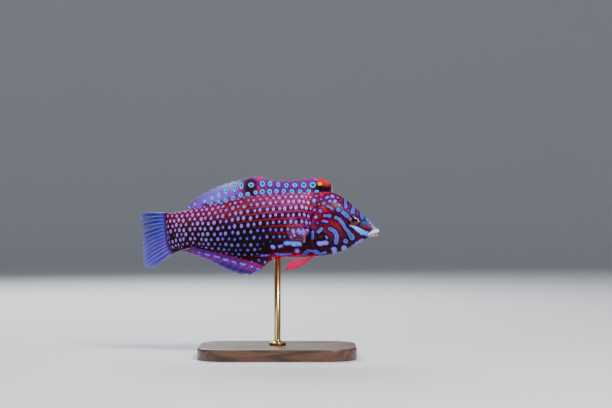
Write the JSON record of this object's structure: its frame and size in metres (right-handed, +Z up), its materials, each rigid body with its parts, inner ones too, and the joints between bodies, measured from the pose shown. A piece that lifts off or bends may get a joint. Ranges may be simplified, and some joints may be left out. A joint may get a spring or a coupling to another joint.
{
  "type": "leopard wrasse model on a display stand",
  "caption": "Life-size still model of a leopard wrasse with its tail swept to its left, held by a rod on a low flat stand.",
  "frame": {"origin": "centre of the stand base's bottom face, under the rod", "axes": "+X from the tail towards the snout, +Y to the fish's left, +Z up from the floor"},
  "size_m": [0.1028, 0.046, 0.0759],
  "materials": {
    "red_skin": "satin painted skin",
    "spotted_flank": "satin painted skin",
    "pale_lip": "satin painted skin",
    "eye": "polished",
    "violet_fin": "satin, translucent",
    "blue_fin": "satin, translucent",
    "clear_fin": "satin, translucent",
    "red_fin": "satin, translucent",
    "stand_wood": "satin varnish",
    "stand_brass": "polished"
  },
  "bodies": {
    "root": {"head": "red_skin", "gill_cover_left": "red_skin", "gill_cover_right": "red_skin", "upper_lip": "pale_lip", "lower_lip": "pale_lip", "eye_left": "eye", "eye_right": "eye", "trunk": "spotted_flank", "tail_stalk": "spotted_flank", "dorsal_fin": "violet_fin", "anal_fin": "violet_fin", "tail_fin": "blue_fin", "pectoral_fin_left": "clear_fin", "pectoral_fin_right": "clear_fin", "pelvic_fin_left": "red_fin", "pelvic_fin_right": "red_fin", "stand_base": "stand_wood", "stand_rod": "stand_brass"}
  },
  "joints": []
}
